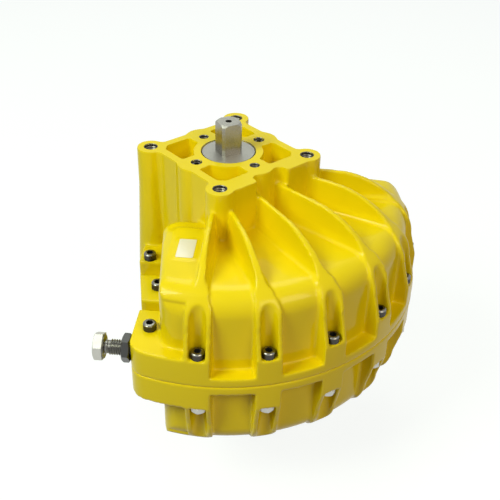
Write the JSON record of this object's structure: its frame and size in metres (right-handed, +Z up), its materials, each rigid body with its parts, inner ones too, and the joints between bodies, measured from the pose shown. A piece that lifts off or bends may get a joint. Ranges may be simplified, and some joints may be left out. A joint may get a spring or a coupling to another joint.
{
  "type": "pneumatic vane actuator",
  "caption": "Quarter-turn pneumatic vane actuator: finned fan-shaped split casing, square drive at both ends, bolt pads and adjustable travel stops.",
  "frame": {"origin": "on the shaft axis in the lower mounting pad's face", "axes": "+Z up the shaft from the lower pad to the upper pad; -Y from the shaft to the middle of the fan-shaped chamber; +X to the right seen from the rim"},
  "size_m": [0.3224, 0.2185, 0.2678],
  "materials": {
    "casing_paint": "gloss stoved epoxy over die-cast aluminium",
    "seal_rubber": "matt black",
    "bush_bronze": "oil-filled bronze",
    "black_steel": "black oxide",
    "screw_steel": "stainless, turned",
    "stop_steel": "stainless",
    "shaft_steel": "turned and ground",
    "vane_alloy": "die-cast",
    "key_steel": "bright drawn",
    "spring_steel": "spring strip",
    "plate_steel": "stainless sheet"
  },
  "bodies": {
    "casing": {"upper_casing": "casing_paint", "lower_casing": "casing_paint", "casing_seal": "seal_rubber", "upper_bush": "bush_bronze", "lower_bush": "bush_bronze", "upper_shaft_seal": "seal_rubber", "lower_shaft_seal": "seal_rubber", "upper_blank_screws": "black_steel", "lower_blank_screws": "black_steel", "rim_screws": "screw_steel", "rim_nuts": "screw_steel", "side_screws": "screw_steel", "side_nuts": "screw_steel", "rear_screws": "screw_steel", "rear_nuts": "screw_steel", "locknut_left": "black_steel", "locknut_right": "black_steel"},
    "rotor": {"shaft": "shaft_steel", "vane": "vane_alloy", "vane_key": "key_steel", "lip_seal_left": "seal_rubber", "lip_seal_right": "seal_rubber", "expander_left": "spring_steel", "expander_right": "spring_steel", "side_plate_left": "plate_steel", "side_plate_right": "plate_steel", "vane_rivets": "plate_steel"},
    "stop_left": {"stop_screw_left": "stop_steel"},
    "stop_right": {"stop_screw_right": "stop_steel"}
  },
  "joints": [
    {"name": "shaft_turn", "type": "hinge", "parent": "casing", "child": "rotor", "pos_m": [0, 0, 0.1085], "axis": [0, 0, 1], "range_deg": [-30, 60]},
    {"name": "stop_left_out", "type": "slide", "parent": "casing", "child": "stop_left", "axis": [-0.7071, 0.7071, 0], "range_m": [0, 0.012]},
    {"name": "stop_right_out", "type": "slide", "parent": "casing", "child": "stop_right", "axis": [0.7071, 0.7071, 0], "range_m": [0, 0.012]}
  ]
}
